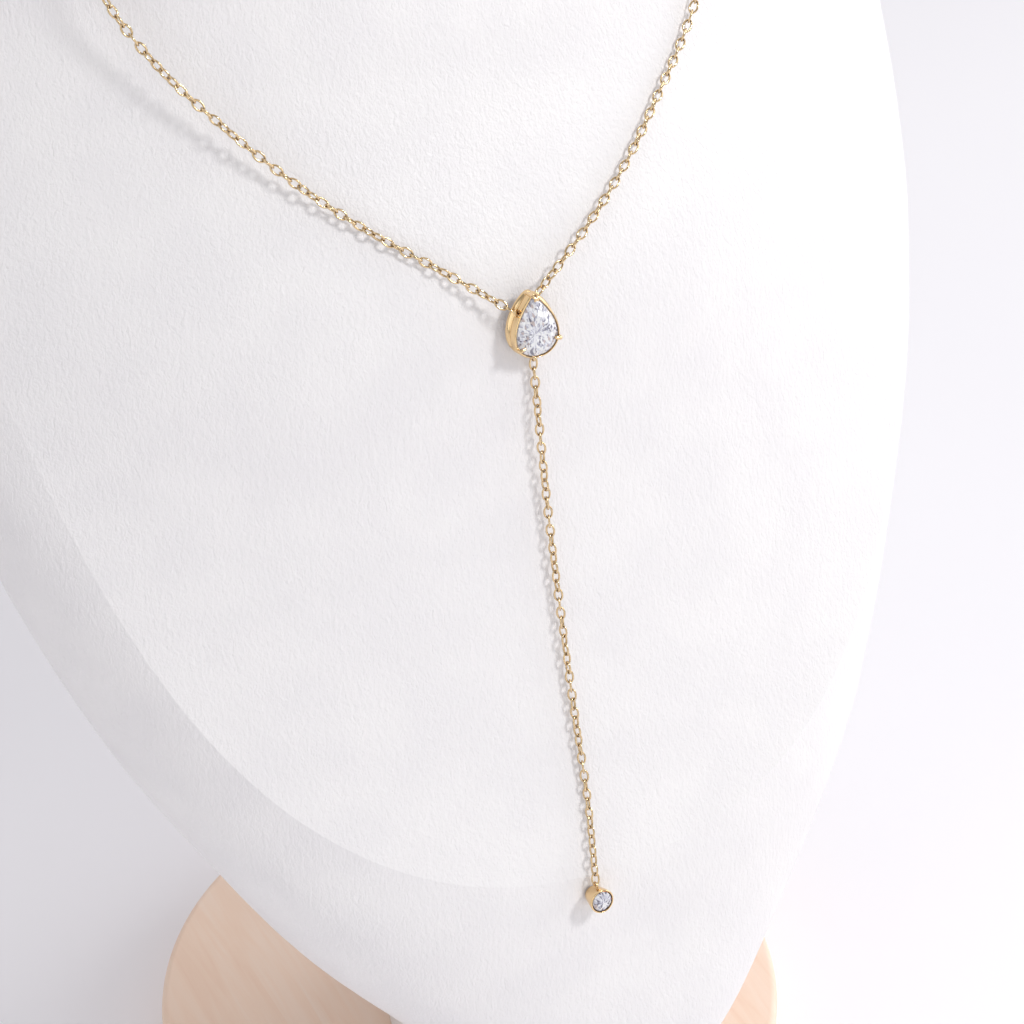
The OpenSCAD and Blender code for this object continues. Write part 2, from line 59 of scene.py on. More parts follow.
def make_camera():
    camera = bpy.data.objects.new("photo_camera", bpy.data.cameras.new("photo_camera"))
    bpy.context.scene.collection.objects.link(camera)
    camera.data.lens = LENS
    camera.data.sensor_width = SENSOR
    camera.data.clip_start = 0.01
    camera.data.clip_end = 20
    turn = Matrix.Rotation(math.radians(-CAMERA_AZIMUTH), 4, "Z")
    tilt = Matrix.Rotation(math.radians(90 - CAMERA_DOWN), 4, "X")
    roll = Matrix.Rotation(math.radians(CAMERA_ROLL), 4, "Z")
    camera.matrix_world = Matrix.Translation(Vector(CAMERA_PLACE) * MM) @ turn @ tilt @ roll
    bpy.context.scene.camera = camera
    bpy.context.scene.view_settings.view_transform = "Standard"


make_camera()

# Wood base and bust. The bust's foot stands FOOT_GAP clear of the wood, and its chest begins at EDGE_H
WOOD_LOW, WOOD_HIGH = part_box("wood_base")
WOOD_R = (WOOD_HIGH.x - WOOD_LOW.x) / 2 / MM
WOOD_T = WOOD_HIGH.z / MM
WOOD_RIM = 1.5
WOOD_STEPS = 144
BUST_H = 285
BUST_W = 177
BUST_D = 150
EDGE_H = 82
NECK_RIM = 4
FOOT_GAP = 0.2
# Half width that the chest spreads to, how fast it gets there, and the rise that it starts from
EDGE_SPREAD = 0.565 * BUST_W
EDGE_TURN = 0.197 * BUST_H
EDGE_RISE = 0.2
# Powers of the curves round the wall and across the chest: 2 is an ellipse, and more is squarer
FRONT_POWER = 2.87
BACK_POWER = 2.5
NECK_POWER = 2.1
CHEST_POWER = 2.3
# Shares of the bust's height between which the chest turns into the neck's wall, and the half width
# that it keeps there as a share of the neck's
NECK_FROM = 0.73
NECK_TO = 0.856
NECK_PANEL = 0.8
# The chest's edge is crisp: the share of the depth at which its curve's corner lies, the height over
# which it grows crisp, and the shares of the bust's height between which it softens again
EDGE_CUT = 0.5
EDGE_FADE = 0.14 * BUST_H
SOFT_FROM = 0.62
SOFT_TO = 0.75
# The bust's mesh: columns across half of the chest, beside it and round half of the back, how closely
# they crowd at the chest's edge, and rows up the foot, the chest, the neck and its rim. The neck's rows
# begin at SHOULDER, a share of the bust's height
CHEST_COLUMNS = 46
SIDE_COLUMNS = 36
BACK_COLUMNS = 40
EDGE_CROWD = 1.8
FOOT_ROWS = 36
CHEST_ROWS = 100
NECK_ROWS = 54
RIM_ROWS = 8
SHOULDER = 0.72

# Sections of the bust: height, half width, then the places of the wall's front, its widest part, its
# back and the chest's middle, each a share of the bust's height, width or depth
SECTIONS = [
    (0, 0.112, -0.33, -0.12, 0.08, -0.52),
    (0.07, 0.125, -0.39, -0.14, 0.105, -0.52),
    (0.147, 0.181, -0.44, -0.135, 0.165, -0.52),
    (0.218, 0.28, -0.413, -0.09, 0.233, -0.453),
    (EDGE_H / BUST_H, 0.345, -0.393, -0.062, 0.255, -0.393),
    (0.358, 0.4, -0.34, -0.075, 0.258, -0.336),
    (0.446, 0.45, -0.257, -0.045, 0.268, -0.281),
    (0.533, 0.484, -0.168, 0.02, 0.289, -0.242),
    (0.586, 0.495, -0.117, 0.073, 0.316, -0.228),
    (0.639, 0.5, -0.063, 0.135, 0.36, -0.185),
    (0.702, 0.5, 0.013, 0.22, 0.433, -0.109),
    (0.744, 0.486, 0.033, 0.255, 0.478, -0.075),
    (0.789, 0.441, -0.027, 0.243, 0.513, -0.069),
    (0.828, 0.362, -0.06, 0.233, 0.527, -0.073),
    (0.87, 0.282, -0.073, 0.227, 0.527, -0.083),
    (0.919, 0.251, -0.087, 0.213, 0.513, -0.093),
    (1, 0.246, -0.107, 0.19, 0.487, -0.107),
]
HEIGHT, HALF, FRONT, WIDEST, BACK, CHEST = range(6)
Section = namedtuple("Section", "half middle ahead behind chest front_power back_power panel wall edge")

# Chain, with its wire a little bolder than the source's
LINK_L = 2.3
LINK_W = 1.5
LINK_WIRE = 0.3
LINK_BOLD = 0.045
LINK_GAP = 0.1
LINK_PITCH = LINK_L - 2 * LINK_WIRE - LINK_GAP
LINK_HALF = (LINK_L - LINK_WIRE) / 2
LINK_SIDE = (LINK_W - LINK_WIRE) / 2
# Turn of the links about the chain, away from its ends: at 45 degrees both kinds of link lie askew, and
# on the right chain every second link nearly faces the camera. The turn grows over TURN_LINKS links
LINK_TURN = 45
RIGHT_TURN = -36
TURN_LINKS = 10
# How far any one link strays from its turn, and the half turns that a chain twists through
LINK_STRAY = 9
DROP_TWISTS = 3
NECK_TWISTS = 8
# Steps round a link, round its wire, and between two rows of a route
LINK_STEPS = 14
WIRE_STEPS = 6
ROUTE_STEPS = 12

# Pear pendant. PEAR_PEAK is the widest value of its outline's formula, and its middle lies PEAR_MIDDLE of
# its height above its place
PEAR_W = 6.7
PEAR_H = 9.4
PEAR_PEAK = 0.7698
PEAR_MIDDLE = 0.1667
PEAR_STEPS = 96
PEAR_X = -5.1
PEAR_UP = 171.3
PEAR_LEAN = 11.5
PEAR_GAP = 0.7
SEAT_GAP = 0.3
GIRDLE_DEPTH = 0.2
# Its setting. The wall draws in by WALL_TAPER towards its back, where its tip is blunter: that change
# begins at BLUNT_FROM of the depth and takes BLUNT_OVER of it
SETTING_DEPTH = 2.7
SETTING_WALL = 0.42
SETTING_VOXEL = 0.07
STONE_GAP = 0.12
WALL_TAPER = 0.05
WALL_BACK_BLUNT = 0.42
BLUNT_FROM = 0.3
BLUNT_OVER = 0.6
# Outside of the wall, as shares of its depth and of SETTING_WALL: the front band ends at BAND_EDGE and
# swells from its lip, a groove follows, and then the back band bulges
BAND_EDGE = 0.56
BAND_STEPS = 10
BAND_LIP = 0.4
BAND_SWELL = 0.6
BAND_BEND = 1.2
BAND_ROUND = 0.6
GROOVE = ((0.93, 0.72), (1, 0.5))
BACK_STEPS = 8
BACK_LIP = 0.55
BACK_SWELL = 0.6
BACK_ROUND = 0.7
# Rings on both pendants, and the place of the pear's lowest one as shares of its width and depth
EAR_R = 0.52
EAR_WIRE = 0.28
EAR_STEPS = 24
EAR_SIDES = 10
EAR_FOOT = (-0.03, 0.74)
# Claws: angle from the pear's tip, stoutness, and how far they stand before the lip
CLAWS = ((-14, 0.75, 1), (14, 0.75, 1), (-127, 1, 1), (124, 1.15, 0.55))
# How far out a claw sits on the wall, how far it reaches over the stone, and how deep behind the lip its
# points lie: foot and middle as shares of the wall's depth, then two in millimetres
CLAW_SEAT = 0.7
CLAW_REACH = 0.5
CLAW_FOOT = 0.92
CLAW_MIDDLE = 0.4
CLAW_LIP = 0.1
CLAW_BEND = -0.35
# Over the stone: share of the reach and place before the lip. Then the wire's radii from foot to end
CLAW_OVER = ((0.15, -0.68), (0.55, -0.86), (1, -0.8))
CLAW_WIRE = (0.26, 0.28, 0.29, 0.3, 0.3, 0.28, 0.24)
CLAW_SIDES = 12
CLAW_END_STEPS = 4
CLAW_END_R = 0.01

# Round drop, and where it hangs from the pear pendant
CUP_D = 4.1
CUP_BACK_D = 3
CUP_DEPTH = 3.4
CUP_WALL = 0.28
CUP_FLOOR = 0.5
CUP_HUB = 0.02
CUP_STEPS = 64
CUP_VOXEL = 0.06
CUP_UP = 80
CUP_X = -2.4
CUP_LEAN = 15

# Cut of the stones. Shares of the width: the table and half the girdle, and the heights of the crown and
# the pavilion. Then how far out the crown's and the pavilion's middle corners lie
TABLE = 0.56
CROWN = 0.15
PAVILION = 0.4
GIRDLE = 0.012
CROWN_MIDDLE = 0.79
PAVILION_MIDDLE = 0.3
PEAR_MAINS = 12
ROUND_MAINS = 8
ROUND_R = CUP_D / 2 - CUP_WALL - STONE_GAP

# Clasp
CLASP_L = 8
CLASP_D = 2.8
EYE_R = 0.9

# Routes of the chain, as in the part's source. Beside the pendant: place across as a share of half of
# BUST_W, height as a share of the way from PEAR_UP to BUST_H, and how far the chain's middle stands
# before the chest as a share of LINK_W
RIGHT_ROUTE = [(0.076, 0.095, 1.13), (0.182, 0.15, 1.07), (0.282, 0.207, 0.93), (0.377, 0.265, 0.87),
               (0.463, 0.351, 1.89), (0.555, 0.443, 1.77)]
LEFT_ROUTE = [(-0.19, 0.09, 0.93), (-0.291, 0.147, 1), (-0.386, 0.21, 1.73), (-0.472, 0.28, 2.53),
              (-0.547, 0.352, 3.2), (-0.601, 0.428, 2.8)]
# Round the neck: angle from its front, height as a share of BUST_H, and the same share of LINK_W
NECK_ROUTE = [(48, 0.808, 1.07), (60, 0.829, 0.93), (74, 0.848, 0.87), (89, 0.865, 0.8), (104, 0.878, 0.8),
              (119, 0.886, 0.8), (134, 0.889, 0.8), (149, 0.889, 0.8), (164, 0.887, 0.87)]
# Down the chest: place across and height as shares of the way from the pear pendant to the cup, and the
# same share of LINK_W
DROP_ROUTE = [(0.05, 0.17, 1.13), (-0.01, 0.345, 1), (0.01, 0.515, 1), (0.1, 0.69, 0.87),
              (0.26, 0.845, 0.73)]
# Rings on the pear setting: place across, back and up, and their turn about the upright
EAR_LEFT = (-0.4 * PEAR_W, 0.3 * SETTING_DEPTH, 0.43 * PEAR_H, 35)
EAR_RIGHT = (0.2 * PEAR_W, 0.8 * SETTING_DEPTH, 0.56 * PEAR_H, -35)


def ease(t):
    t = min(max(t, 0), 1)
    return t * t * (3 - 2 * t)


def unit(v):
    v = np.asarray(v, float)
    return v / np.linalg.norm(v)


def slope(row, column):
    """How fast a column of SECTIONS changes at a row."""
    low = SECTIONS[max(row - 1, 0)]
    high = SECTIONS[min(row + 1, len(SECTIONS) - 1)]
    return (high[column] - low[column]) / (high[HEIGHT] - low[HEIGHT])


def along(h, column):
    """A column of SECTIONS at any height, on a smooth curve through its rows."""
    row = 0
    while row < len(SECTIONS) - 2 and h >= SECTIONS[row + 1][HEIGHT] * BUST_H:
        row += 1
    a = SECTIONS[row]
    b = SECTIONS[row + 1]
    span = b[HEIGHT] - a[HEIGHT]
    t = min(max((h / BUST_H - a[HEIGHT]) / span, 0), 1)
    return ((2 * t**3 - 3 * t**2 + 1) * a[column] + (t**3 - 2 * t**2 + t) * slope(row, column) * span
            + (3 * t**2 - 2 * t**3) * b[column] + (t**3 - t**2) * slope(row + 1, column) * span)


def section_at(h):
    """The bust's section at a height over its foot."""
    half = BUST_W * along(h, HALF)
    middle = BUST_D * along(h, WIDEST)
    neck = ease((h / BUST_H - NECK_FROM) / (NECK_TO - NECK_FROM))
    rise = max(h - EDGE_H, EDGE_RISE)
    spread = EDGE_SPREAD * math.sqrt(rise / (rise + EDGE_TURN))
    return Section(
        half=half, middle=middle,
        ahead=middle - BUST_D * along(h, FRONT), behind=BUST_D * along(h, BACK) - middle,
        chest=BUST_D * along(h, CHEST),
        front_power=FRONT_POWER + (NECK_POWER - FRONT_POWER) * neck,
        back_power=BACK_POWER + (NECK_POWER - BACK_POWER) * neck,
        panel=spread * (1 - neck) + NECK_PANEL * half * neck,
        wall=1 if h < EDGE_H else neck,
        edge=ease((h - EDGE_H) / EDGE_FADE) * (1 - ease((h / BUST_H - SOFT_FROM) / (SOFT_TO - SOFT_FROM))))


def wall_y(s, x):
    """Place of a section's front wall at a distance from its middle."""
    return s.middle - s.ahead * max(1 - (abs(x) / s.half) ** s.front_power, 0) ** (1 / s.front_power)


def front_y(s, x):
    """The same for the bust's whole front, where the chest stands before the wall below the neck."""
    if abs(x) > s.panel:
        return wall_y(s, x)
    chest = s.chest + (wall_y(s, s.panel) - s.chest) * (abs(x) / s.panel) ** CHEST_POWER
    return chest * (1 - s.wall) + wall_y(s, x) * s.wall


def wall_point(s, angle):
    """Point of a section's wall at an angle from its front."""
    sine = math.sin(math.radians(angle))
    cosine = math.cos(math.radians(angle))
    ahead = cosine > 0
    power = s.front_power if ahead else s.back_power
    depth = s.ahead if ahead else -s.behind
    return (math.copysign(s.half * abs(sine) ** (2 / power), sine),
            s.middle - depth * abs(cosine) ** (2 / power))


def side_point(s, start, t):
    """Point of the wall beside the chest, a share of the way from the chest's edge to the widest place."""
    x, y = wall_point(s, start + (90 - start) * t)
    edge_y = wall_y(s, s.panel)
    turn_y = edge_y + (s.middle - edge_y) * EDGE_CUT
    cut_x = (1 - t) ** 2 * s.panel + 2 * t * (1 - t) * s.half + t * t * s.half
    cut_y = (1 - t) ** 2 * edge_y + 2 * t * (1 - t) * turn_y + t * t * s.middle
    return x + (cut_x - x) * s.edge, y + (cut_y - y) * s.edge


def half_ring(s):
    """Half of a section: across the chest, from its edge to the widest place, and round the back."""
    start = math.degrees(math.asin((s.panel / s.half) ** (s.front_power / 2)))
    across = [s.panel * (1 - (1 - i / CHEST_COLUMNS) ** EDGE_CROWD) for i in range(CHEST_COLUMNS + 1)]
    chest = [(x, front_y(s, x)) for x in across]
    side = [side_point(s, start, (i / SIDE_COLUMNS) ** EDGE_CROWD) for i in range(1, SIDE_COLUMNS + 1)]
    back = [wall_point(s, 90 + 90 * i / BACK_COLUMNS) for i in range(1, BACK_COLUMNS + 1)]
    return chest + side + back


def ring_at(h, level, inset=0):
    """A whole section of the bust at a level over the wood, drawn in for the neck's rounded rim."""
    s = section_at(h)
    half = half_ring(s)
    shrink = 1 - inset / s.half
    whole = half + [(-x, y) for x, y in half[-2:0:-1]]
    return [(x * shrink, s.middle + (y - s.middle) * shrink, WOOD_T + level) for x, y in whole]


def before_chest(x, h, off):
    """Place a distance before the bust's front."""
    return np.array([x, front_y(section_at(h), x) - off, WOOD_T + h])


def chest_out(x, h):
    """Outward direction of the chest."""
    across = before_chest(x + 0.5, h, 0) - before_chest(x - 0.5, h, 0)
    up = before_chest(x, h + 0.5, 0) - before_chest(x, h - 0.5, 0)
    return unit(np.cross(across, up))


def neck_wall(angle, h):
    x, y = wall_point(section_at(h), angle)
    return np.array([x, y, WOOD_T + h])


def neck_out(angle, h):
    """Outward direction of the neck's wall."""
    across = neck_wall(angle + 1, h) - neck_wall(angle - 1, h)
    up = neck_wall(angle, h + 1) - neck_wall(angle, h - 1)
    return unit(np.cross(across, up))


def off_neck(angle, h, off):
    return neck_wall(angle, h) + off * neck_out(angle, h)


def leaned(point, lean, place):
    """A point of a pendant's own frame, leaned back and moved to its place."""
    x, y, z = point
    cosine = math.cos(math.radians(lean))
    sine = math.sin(math.radians(lean))
    return np.asarray(place) + np.array([x, y * cosine + z * sine, z * cosine - y * sine])


# Places of the two pendants and the clasp
PEAR_FOOT = (0, SETTING_DEPTH, PEAR_H * (PEAR_MIDDLE - 0.5))
PEAR_BACK = leaned(PEAR_FOOT, PEAR_LEAN, (0, 0, 0))
PEAR_PLACE = before_chest(PEAR_X, PEAR_UP + PEAR_BACK[2], PEAR_GAP) - PEAR_BACK
CUP_FOOT = leaned((0, CUP_DEPTH, -CUP_BACK_D / 2), CUP_LEAN, (0, 0, 0))
CUP_PLACE = before_chest(PEAR_X + CUP_X, CUP_UP + CUP_FOOT[2], SEAT_GAP) - CUP_FOOT
PEAR_EAR = (EAR_FOOT[0] * PEAR_W, EAR_FOOT[1] * SETTING_DEPTH,
            PEAR_FOOT[2] * (1 - WALL_TAPER * EAR_FOOT[1]) - STONE_GAP - SETTING_WALL - EAR_R)
CUP_EAR = (0, CUP_DEPTH / 2, (CUP_D + CUP_BACK_D) / 4 + EAR_R)
CLASP_PLACE = off_neck(180, NECK_ROUTE[-1][1] * BUST_H, CLASP_D / 2 + SEAT_GAP)
EYE_X = CLASP_L / 2 + EYE_R


# Meshes
def mesh_object(name, points, faces, material, scale=MM):
    mesh = bpy.data.meshes.new(name)
    mesh.from_pydata([tuple(float(c) * scale for c in p) for p in points], [], faces)
    mesh.validate()
    mesh.materials.append(material)
    piece = bpy.data.objects.new(name, mesh)
    bpy.context.scene.collection.objects.link(piece)
    return piece


def skin_faces(count, n, closed=False):
    """Faces between rings of n points, joined round to the first or with a cap at each end."""
    last = count if closed else count - 1
    faces = []
    for i in range(last):
        for j in range(n):
            k = (j + 1) % n
            below = i * n
            above = (i + 1) % count * n
            faces.append((below + j, below + k, above + k, above + j))
    if not closed:
        faces.append(tuple(range(n - 1, -1, -1)))
        faces.append(tuple((count - 1) * n + j for j in range(n)))
    return faces


def skin(name, rings, material):
    points = [p for ring in rings for p in ring]
    return mesh_object(name, points, skin_faces(len(rings), len(rings[0])), material)


def smooth_piece(piece, sharp_angle=40):
    for face in piece.data.polygons:
        face.use_smooth = True
    piece.data.set_sharp_from_angle(angle=math.radians(sharp_angle))
    return piece


def finish(piece, slot, *nodes):
    """Give a piece its body, and let it stand for its nodes, which are hidden. The slot argument is not
    used.
    """
    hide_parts(*nodes)
    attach(piece, "root")
    return piece


# Node trees
class Nodes:
    """A node tree, with short calls to add nodes and join them."""

    def __init__(self, tree):
        self.tree = tree

    def feed(self, socket, value):
        """Give an input its value, or join it to another node's output."""
        if isinstance(value, bpy.types.NodeSocket):
            self.tree.links.new(value, socket)
        else:
            socket.default_value = value

    def add(self, kind, inputs=(), **settings):
        node = self.tree.nodes.new(kind)
        for key, value in settings.items():
            setattr(node, key, value)
        for key, value in dict(inputs).items():
            self.feed(node.inputs[key], value)
        return node

    def math(self, operation, a, b=0.0):
        return self.add("ShaderNodeMath", {0: a, 1: b}, operation=operation).outputs[0]


# Materials
class Finish(Nodes):
    """A material's node tree, round its one shader."""

    def __init__(self, name):
        self.material = bpy.data.materials.new(name)
        self.material.use_nodes = True
        super().__init__(self.material.node_tree)
        self.shader = self.tree.nodes["Principled BSDF"]

    def set(self, **values):
        for key, value in values.items():
            name = key.replace("_", " ").title().replace("Ior", "IOR")
            self.feed(self.shader.inputs[name], value)

    def ramp(self, factor, *stops):
        node = self.add("ShaderNodeValToRGB", {"Fac": factor})
        elements = node.color_ramp.elements
        while len(elements) < len(stops):
            elements.new(0.5)
        for element, (place, colour) in zip(elements, stops):
            element.position = place
            element.color = (*colour, 1)
        return node.outputs["Color"]

    def object_place(self, scale=(1, 1, 1), turn=(0, 0, 0)):
        place = self.add("ShaderNodeTexCoord").outputs["Object"]
        inputs = {"Vector": place, "Scale": scale, "Rotation": turn}
        return self.add("ShaderNodeMapping", inputs).outputs["Vector"]

    def noise(self, vector, scale, detail=2, roughness=0.5, distortion=0):
        inputs = {"Vector": vector, "Scale": scale, "Detail": detail, "Roughness": roughness,
                  "Distortion": distortion}
        return self.add("ShaderNodeTexNoise", inputs).outputs["Fac"]

    def mixed(self, a, share_a, b, share_b):
        return self.math("ADD", self.math("MULTIPLY", a, share_a), self.math("MULTIPLY", b, share_b))

    def between(self, value, low, high):
        return self.add("ShaderNodeMapRange", {"Value": value, "To Min": low, "To Max": high}).outputs[0]

    def vectors(self, operation, inputs):
        return self.add("ShaderNodeVectorMath", inputs, operation=operation).outputs

    def bump(self, height, strength, distance):
        inputs = {"Height": height, "Strength": strength, "Distance": distance}
        return self.add("ShaderNodeBump", inputs).outputs["Normal"]


def leatherette():
    """White leatherette: fine upright creases that lean a little, over a small pebble."""
    n = Finish("white_leatherette")
    place = n.object_place()
    leaning = n.object_place(scale=(1, 1, 0.33), turn=(0, math.radians(-12), 0))
    crease = n.noise(leaning, 1500, roughness=0.55, distortion=0.6)
    pebble = n.noise(place, 2600, detail=1)
    soft = n.noise(place, 90, detail=1)
    n.set(base_color=n.ramp(soft, (0.35, (0.82, 0.80, 0.805)), (0.65, (0.845, 0.825, 0.825))),
          roughness=n.between(crease, 0.4, 0.55),
          normal=n.bump(n.mixed(crease, 0.8, pebble, 0.35), strength=1.0, distance=0.2 * MM))
    return n.material


def light_wood():
    """Light wood with its grain from front to back."""
    n = Finish("light_wood")
    place = n.object_place(scale=(1, 0.09, 0.5))
    bend = n.noise(place, 30, distortion=0.4)
    rings = n.noise(place, 260, detail=4, roughness=0.55, distortion=1.2)
    grain = n.mixed(rings, 0.7, bend, 0.3)
    pores = n.noise(n.object_place(scale=(1, 0.04, 1)), 2600, detail=3, roughness=0.7)
    n.set(base_color=n.ramp(grain, (0.3, (0.91, 0.65, 0.50)), (0.5, (0.95, 0.72, 0.57)),
                            (0.72, (0.97, 0.78, 0.65))),
          roughness=n.between(pores, 0.4, 0.6), normal=n.bump(pores, strength=0.25, distance=0.08 * MM))
    return n.material


def yellow_gold(name, light, deep, roughness):
    """Yellow gold plating: a little uneven in its polish, and with painted shade where metal faces metal,
    where an ambient-occlusion node darkens its colour.
    """
    n = Finish(name)
    place = n.object_place()
    wear = n.noise(place, 900, roughness=0.6)
    polish = n.noise(place, 4000, detail=1)
    # Painted shade: the colour runs towards the deep colour in crevices, between links and where metal faces
    # metal, and also with the random wear
    painted_crevice_shade = n.add("ShaderNodeAmbientOcclusion", {"Distance": 0.7 * MM}, samples=6).outputs["AO"]
    shade = n.math("ADD", painted_crevice_shade, n.math("MULTIPLY", n.math("SUBTRACT", wear, 0.5), 0.3))
    n.set(metallic=1.0, base_color=n.ramp(shade, (0.3, deep), (0.85, light)),
          roughness=n.between(wear, *roughness), normal=n.bump(polish, strength=0.08, distance=0.02 * MM))
    return n.material


# Painted reflections of the stones' facets, as shards from the darkest to the brightest: place on the ramp
# and colour. A few are warm, as painted flashes of fire
PAINTED_SHARD_TONES = ((0.14, (0.20, 0.19, 0.24)), (0.25, (0.42, 0.42, 0.52)), (0.36, (0.68, 0.69, 0.80)),
               (0.46, (0.90, 0.90, 0.97)), (0.56, (1.0, 1.0, 1.0)))
PAINTED_WARM_FLASH = (0.70, 0.58, 0.56, 1)
WARM_FROM = 0.95
# The crossing shards' slant in radians, their shape, how much smaller they are, and how far they tilt
SHARD_SLANT = 0.7
SHARD_SHAPE = (1, 0, 0.6)
SHARD_CROWD = 3.4
SHARD_TILT = 0.5


def clear_stone(name, place, lean, shards, reach, shade, hub=(0, 0)):
    """Clear cut stone: its facets' inner reflections are painted into its colour as shards, some radial and
    some crossing them.
    """
    n = Finish(name)
    middle = Vector(leaned((hub[0], 0, hub[1]), lean, place)) * MM
    spot = n.add("ShaderNodeMapping", {"Vector": n.add("ShaderNodeTexCoord").outputs["Object"],
                                       "Location": middle, "Rotation": (math.radians(-lean), 0, 0)},
                 vector_type="TEXTURE").outputs["Vector"]
    axes = n.add("ShaderNodeSeparateXYZ", {"Vector": spot}).outputs
    flat = n.add("ShaderNodeCombineXYZ", {"X": axes["X"], "Z": axes["Z"]}).outputs["Vector"]
    angle = n.math("MULTIPLY", n.math("ARCTAN2", axes["X"], axes["Z"]), shards / (2 * math.pi))
    radius = n.math("MULTIPLY", n.vectors("LENGTH", {0: flat})["Value"], reach)
    rays = n.add("ShaderNodeCombineXYZ", {"X": angle, "Y": radius}).outputs["Vector"]
    radial = n.add("ShaderNodeTexVoronoi", {"Vector": rays, "Scale": 1.0},
                   voronoi_dimensions="2D").outputs["Color"]
    slant = n.add("ShaderNodeMapping", {"Vector": spot, "Scale": SHARD_SHAPE,
                                        "Rotation": (0, SHARD_SLANT, 0)}).outputs["Vector"]
    crossing = n.add("ShaderNodeTexVoronoi",
                     {"Vector": slant, "Scale": reach * SHARD_CROWD}).outputs["Color"]
    tones = n.add("ShaderNodeSeparateColor", {"Color": radial}).outputs
    others = n.add("ShaderNodeSeparateColor", {"Color": crossing}).outputs
    tone = n.mixed(tones["Red"], 0.5, others["Red"], 0.5)
    # Painted reflection: each shard's tone, darkened by shade, takes a colour off the ramp, and a few shards
    # get a painted warm flash
    painted_reflection = n.ramp(n.math("SUBTRACT", tone, shade), *PAINTED_SHARD_TONES)
    painted_shards = n.add("ShaderNodeMixRGB", {"Fac": n.math("GREATER_THAN", others["Green"], WARM_FROM),
                                      "Color1": painted_reflection, "Color2": PAINTED_WARM_FLASH}).outputs["Color"]
    tilt = n.vectors("SUBTRACT", {0: crossing, 1: (0.5, 0.5, 0.5)})[0]
    tilt = n.vectors("SCALE", {0: tilt, "Scale": SHARD_TILT})[0]
    facing = n.add("ShaderNodeNewGeometry").outputs["Normal"]
    facet = n.vectors("NORMALIZE", {0: n.vectors("ADD", {0: facing, 1: tilt})[0]})[0]
    n.set(base_color=painted_shards, normal=facet, roughness=0.02, ior=2.0, transmission_weight=0.25)
    return n.material


LEATHERETTE = leatherette()
WOOD = light_wood()
# The deep colours are painted shade between links and in grooves, and the darker spots of wear
GOLD = yellow_gold("polished_gold", light=(0.86, 0.63, 0.35), deep=(0.45, 0.24, 0.08),
                   roughness=(0.1, 0.22))
CHAIN_GOLD = yellow_gold("chain_gold", light=(0.74, 0.56, 0.33), deep=(0.22, 0.12, 0.05),
                         roughness=(0.1, 0.2))
# A hub moves the middle of a stone's painted reflections across the stone
PEAR_STONE = clear_stone("pear_stone", PEAR_PLACE, PEAR_LEAN, shards=56, reach=1100, shade=0.03,
                         hub=(-0.8, 0.6))
ROUND_STONE = clear_stone("round_stone", CUP_PLACE, CUP_LEAN, shards=30, reach=1000, shade=0.1)


# Stand
def make_wood():
    arc = [math.radians(a) for a in range(90, -1, -10)]
    top = [(WOOD_R - WOOD_RIM + WOOD_RIM * math.sin(a), WOOD_T - WOOD_RIM + WOOD_RIM * math.cos(a))
           for a in arc]
    low = [(r, WOOD_T - z) for r, z in reversed(top)]
    piece = skin("wood_disc", [lathe_ring(r, z) for r, z in low + top], WOOD)
    return finish(smooth_piece(piece), "wood", "wood_base")


def lathe_ring(radius, level):
    turns = [2 * math.pi * i / WOOD_STEPS for i in range(WOOD_STEPS)]
    return [(radius * math.cos(a), radius * math.sin(a), level) for a in turns]


def make_bust():
    """The bust: rings up its foot, close together where the chest begins, and on to the neck's rim."""
    shoulder = SHOULDER * BUST_H
    neck_top = BUST_H - NECK_RIM
    turn_end = math.atan(math.sqrt((shoulder - EDGE_H) / EDGE_TURN))
    levels = [EDGE_H * i / FOOT_ROWS for i in range(FOOT_ROWS + 1)]
    levels += [EDGE_H + EDGE_TURN * math.tan(turn_end * i / CHEST_ROWS) ** 2
               for i in range(1, CHEST_ROWS + 1)]
    levels += [shoulder + (neck_top - shoulder) * i / NECK_ROWS for i in range(1, NECK_ROWS + 1)]
    rings = [ring_at(h, max(h, FOOT_GAP)) for h in levels]
    for i in range(1, RIM_ROWS + 1):
        a = math.radians(90 * i / RIM_ROWS)
        rings.append(ring_at(neck_top, neck_top + NECK_RIM * math.sin(a), NECK_RIM * (1 - math.cos(a))))
    piece = skin("neck_bust", rings, LEATHERETTE)
    return finish(smooth_piece(piece, sharp_angle=30), "leatherette", "bust")


# Chain
def curve_through(rows):
    """Smooth curve through the rows of a route."""
    rows = np.array(rows, float)
    found = []
    for i in range(len(rows) - 1):
        a = rows[max(i - 1, 0)]
        b = rows[i]
        c = rows[i + 1]
        d = rows[min(i + 2, len(rows) - 1)]
        for k in range(ROUTE_STEPS):
            t = k / ROUTE_STEPS
            found.append(0.5 * (2 * b + (c - a) * t + (2 * a - 5 * b + 4 * c - d) * t**2
                                + (3 * b - a - 3 * c + d) * t**3))
    return np.array(found + [rows[-1]])


def with_out(place, out):
    """A row of a route: a place and the outward direction there."""
    return np.concatenate([place, out])


def chest_rows(route):
    rows = []
    for x, h, off in route:
        across = x * BUST_W / 2
        up = PEAR_UP + h * (BUST_H - PEAR_UP)
        rows.append(with_out(before_chest(across, up, off * LINK_W), chest_out(across, up)))
    return rows


def neck_rows(side):
    flip = np.array([side, 1, 1])
    return [with_out(off_neck(a, h * BUST_H, off * LINK_W) * flip, neck_out(a, h * BUST_H) * flip)
            for a, h, off in NECK_ROUTE]


def neck_route(side, ear, rows):
    ear_place = leaned(ear[:3], PEAR_LEAN, PEAR_PLACE)
    eye_place = CLASP_PLACE + np.array([side * EYE_X, 0, 0])
    first = with_out(ear_place, (0, -1, 0))
    last = with_out(eye_place, (0, 1, 0))
    return curve_through([first] + chest_rows(rows) + neck_rows(side) + [last])


